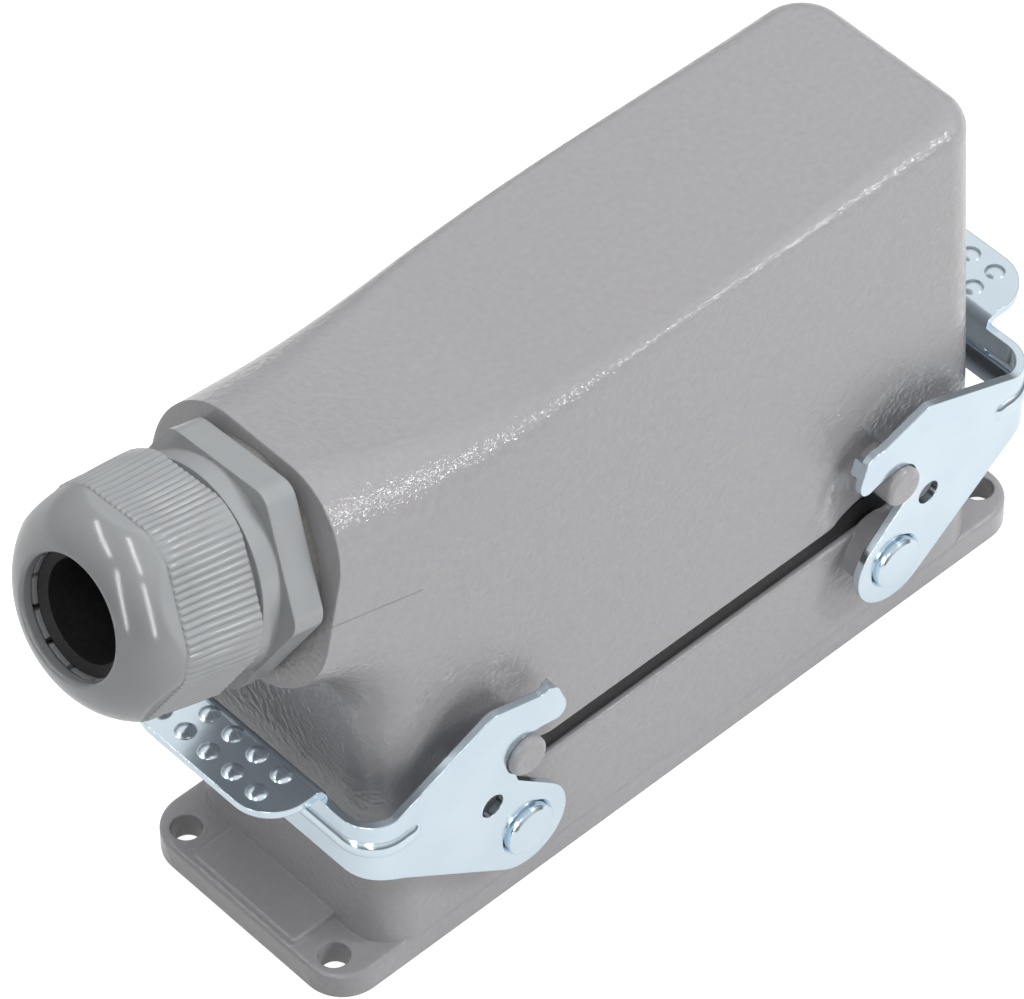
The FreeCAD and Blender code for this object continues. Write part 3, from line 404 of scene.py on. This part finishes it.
def nut_outside(s, angle):
    """Outer radius of the gland nut: ribbed hexagon cut by the dome."""
    along = np.clip((s - nut_rear_s) / (nut_front_s - nut_rear_s), 0, 1)
    scale = 1 + (nut_front_scale - 1) * along
    hexagon = hexagon_radius(angle - nut_turn - math.pi / 2, scale)
    crest = (0.5 + 0.5 * np.cos(nut_ribs * angle)) ** nut_crest_power
    to_end = np.clip((nut_rib_end_s - s) / nut_rib_edge, 0, 1)
    from_rear = np.clip((s - nut_rear_s) / nut_rib_edge, 0, 1)
    rear_fade = nut_rear_crest + (1 - nut_rear_crest) * np.sqrt(1 - (1 - from_rear) ** 2)
    fade = np.sqrt(1 - (1 - to_end) ** 2) * rear_fade
    ribbed = hexagon - nut_rib_depth * (1 - crest * fade)
    arc = np.sqrt(np.maximum(dome_r ** 2 - np.maximum(s - dome_centre_s, 0) ** 2, 0))
    return smooth_minimum(ribbed, dome_centre_r + arc, dome_blend)


def nut_rows():
    """Distances along the gland for the nut's outer rows, closer together where its form changes."""
    rear = nut_rear_s + nut_rib_edge * np.array(rear_row_shares)
    ribs = np.linspace(nut_rear_s + nut_rib_edge, nut_rib_end_s - nut_rib_edge, rib_rows)[1:-1]
    rib_end = nut_rib_end_s - nut_rib_edge * np.array(rib_end_row_shares)
    mouth_edge = dome_centre_s + math.sqrt(dome_r ** 2 - (mouth_r + mouth_lip_r - dome_centre_r) ** 2)
    turn = np.linspace(math.asin((nut_rib_end_s - dome_centre_s) / dome_r),
                       math.asin((mouth_edge - dome_centre_s) / dome_r), dome_rows)[1:]
    return np.concatenate([rear, ribs, rib_end, dome_centre_s + dome_r * np.sin(turn)])


def gland_nut_piece(material):
    """Gland nut with fine rounded ribs, a glossy dome and a rounded mouth."""
    steps = nut_ribs * nut_steps_per_rib
    angle = np.arange(steps) * 2 * math.pi / steps
    rows = [(s, nut_outside(s, angle)) for s in nut_rows()]
    edge_s = rows[-1][0]
    inside = [(edge_s - mouth_lip_r * (1 - math.cos(turn)),
               mouth_r + mouth_lip_r * (1 - math.sin(turn)))
              for turn in np.linspace(0, math.pi / 2, lip_rows)[1:]]
    inside += [(nut_claw_tip_s, mouth_r), (nut_claw_tip_s, nut_claw_tip_r),
               (nut_claw_bend_s, nut_claw_r), (nut_thread_end_s, nut_claw_r),
               (nut_thread_end_s, nut_thread_r), (nut_rear_s, nut_thread_r)]
    rows += [(s, np.full(steps, radius)) for s, radius in inside]
    points = np.concatenate([on_gland_axis(np.full(steps, s), radius, angle)
                             for s, radius in rows])
    faces = []
    for row in range(len(rows)):
        faces += ring_band(row * steps, (row + 1) % len(rows) * steps, steps)
    nut = add_mesh("gland_nut_dressed", points.tolist(), faces)
    set_material(nut, material)
    smooth_by_angle(nut, nut_smooth_angle)
    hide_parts("gland_nut")
    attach(nut, "gland_nut")


def gate_mark(material):
    """Small moulding mark, a ring with a sunk middle, on the front of the gland's hexagon."""
    turn = np.arange(mark_steps) * 2 * math.pi / mark_steps
    points = []
    for radius, rise in mark_profile:
        up = mark_up + radius * np.cos(turn)
        across = mark_across + radius * np.sin(turn)
        s = np.full(mark_steps, hexagon_front_s + rise)
        points.append(on_gland_axis(s, np.hypot(up, across), np.arctan2(across, up)))
    faces = [tuple(reversed(range(mark_steps)))]
    for row in range(len(mark_profile) - 1):
        faces += ring_band(row * mark_steps, (row + 1) * mark_steps, mark_steps)
    mark = add_mesh("gate_mark", np.concatenate(points).tolist(), faces)
    set_material(mark, material)
    smooth_by_angle(mark, mark_smooth_angle)
    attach(mark, "housing")


def hood_wall(x, z, side):
    """Point in millimetres on the hood's drafted side wall."""
    return np.array([x, side * (hood_half_width - (z - hood_bottom_z) * math.tan(hood_draft)), z])


def parting_lines(material):
    """Fine raised die line on each side of the hood's neck, a bar with a three-cornered section."""
    x0, z0 = die_line_upper_end
    x1, z1 = die_line_lower_end
    half = die_line_width / 2
    edge = np.array([z0 - z1, 0.0, x1 - x0]) * half / math.hypot(x1 - x0, z1 - z0)
    faces = [(0, 1, 4, 3), (1, 2, 5, 4), (2, 0, 3, 5), (0, 2, 1), (3, 4, 5)]
    for side, name in ((-1, "near"), (1, "far")):
        proud = np.array([0.0, side * die_line_height, 0.0])
        points = []
        for end in (hood_wall(x0, z0, side), hood_wall(x1, z1, side)):
            points += [end + edge - proud, end + proud, end - edge - proud]
        line = add_mesh(f"parting_line_{name}", (np.array(points) / 1000).tolist(), faces)
        set_material(line, material)
        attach(line, "housing")


def add_camera():
    """Camera at the photograph's place and angle."""
    data = bpy.data.cameras.new("camera")
    data.sensor_fit = "HORIZONTAL"
    data.sensor_width = sensor_mm
    data.lens = camera_focal_px * sensor_mm / photo_width_px
    data.clip_start = camera_nearest
    data.clip_end = camera_furthest
    camera = bpy.data.objects.new("camera", data)
    bpy.context.scene.collection.objects.link(camera)
    azimuth = math.radians(camera_azimuth)
    elevation = math.radians(camera_elevation)
    turn = Euler((math.pi / 2 - elevation, 0, azimuth), "XYZ").to_matrix().to_4x4()
    turn = turn @ Matrix.Rotation(math.radians(camera_roll), 4, "Z")
    camera.matrix_world = Matrix.Translation(camera_place) @ turn
    bpy.context.scene.camera = camera


def add_lamp(name, place, width, height, watts, turn, lights=True, mirrored=True):
    """One rectangular area lamp, which may light matt surfaces, show in mirrors or do both."""
    data = bpy.data.lights.new(name, "AREA")
    data.shape = "RECTANGLE"
    data.size = width
    data.size_y = height
    data.energy = watts
    lamp = bpy.data.objects.new(name, data)
    bpy.context.scene.collection.objects.link(lamp)
    lamp.location = place
    lamp.rotation_euler = turn.to_euler()
    lamp.visible_diffuse = lights
    lamp.visible_glossy = mirrored


def add_lamps():
    """Studio lamps turned towards the connector, and the strips that the gland's dome mirrors."""
    for name, place, width, height, watts, mirrored in lamps:
        place = Vector(place)
        turn = (aim - place).to_track_quat("-Z", "Y")
        add_lamp(name, place, width, height, watts, turn, mirrored=mirrored)
    for name, first, last in strips:
        first = strip_target + Vector(first).normalized() * strip_distance
        last = strip_target + Vector(last).normalized() * strip_distance
        middle = (first + last) / 2
        side = (last - first).normalized()
        back = (middle - strip_target).normalized()
        back = (back - side * back.dot(side)).normalized()
        turn = Matrix((side, back.cross(side), back)).transposed().to_quaternion()
        length = (last - first).length
        watts = strip_radiance * math.pi * length * strip_width
        add_lamp(name, middle, length, strip_width, watts, turn, lights=False)


def add_floor():
    """Pale floor, all but white to the camera and dimmer in mirrors."""
    corners = [(-floor_half, -floor_half, 0), (floor_half, -floor_half, 0),
               (floor_half, floor_half, 0), (-floor_half, floor_half, 0)]
    floor = add_mesh("floor", corners, [(0, 1, 2, 3)])
    floor.location.z = cad_box[0][2] - floor_gap
    material, tree, shader = principled("floor", roughness=0.9, specular=0.1)
    shader.inputs["Base Color"].default_value = (floor_shade, floor_shade, floor_shade, 1)
    shader.inputs["Emission Color"].default_value = (1, 1, 1, 1)
    rays = tree.nodes.new("ShaderNodeLightPath")
    glow = blend_value(tree, rays.outputs["Is Glossy Ray"], 0.0, floor_mirrored_glow)
    glow = blend_value(tree, rays.outputs["Is Camera Ray"], glow, floor_seen_glow)
    tree.links.new(glow, shader.inputs["Emission Strength"])
    set_material(floor, material)


def set_world():
    """Pale surroundings: white to the camera, brighter towards the top in mirrors and dim as light."""
    world = bpy.data.worlds.new("world")
    bpy.context.scene.world = world
    world.use_nodes = True
    tree = world.node_tree
    background = tree.nodes["Background"]
    background.inputs["Color"].default_value = (1, 1, 1, 1)
    place = tree.nodes.new("ShaderNodeTexCoord")
    split = tree.nodes.new("ShaderNodeSeparateXYZ")
    tree.links.new(place.outputs["Generated"], split.inputs["Vector"])
    rise = tree.nodes.new("ShaderNodeMapRange")
    rise.interpolation_type = "SMOOTHSTEP"
    rise.inputs["From Min"].default_value = mirrored_low_z
    rise.inputs["From Max"].default_value = mirrored_high_z
    rise.inputs["To Min"].default_value = mirrored_low
    rise.inputs["To Max"].default_value = mirrored_high
    tree.links.new(split.outputs["Z"], rise.inputs["Value"])
    rays = tree.nodes.new("ShaderNodeLightPath")
    strength = blend_value(tree, rays.outputs["Is Glossy Ray"], surroundings_light,
                           rise.outputs["Result"])
    strength = blend_value(tree, rays.outputs["Is Camera Ray"], strength, surroundings_seen)
    tree.links.new(strength, background.inputs["Strength"])


def main():
    """Build the whole scene."""
    materials = slot_materials()
    dress_nodes(materials)
    gland_nut_piece(materials["gland_plastic"])
    gate_mark(materials["gland_plastic"])
    parting_lines(materials["cast_paint"])
    add_floor()
    set_world()
    add_lamps()
    add_camera()
    bpy.context.scene.view_settings.view_transform = "Standard"


main()
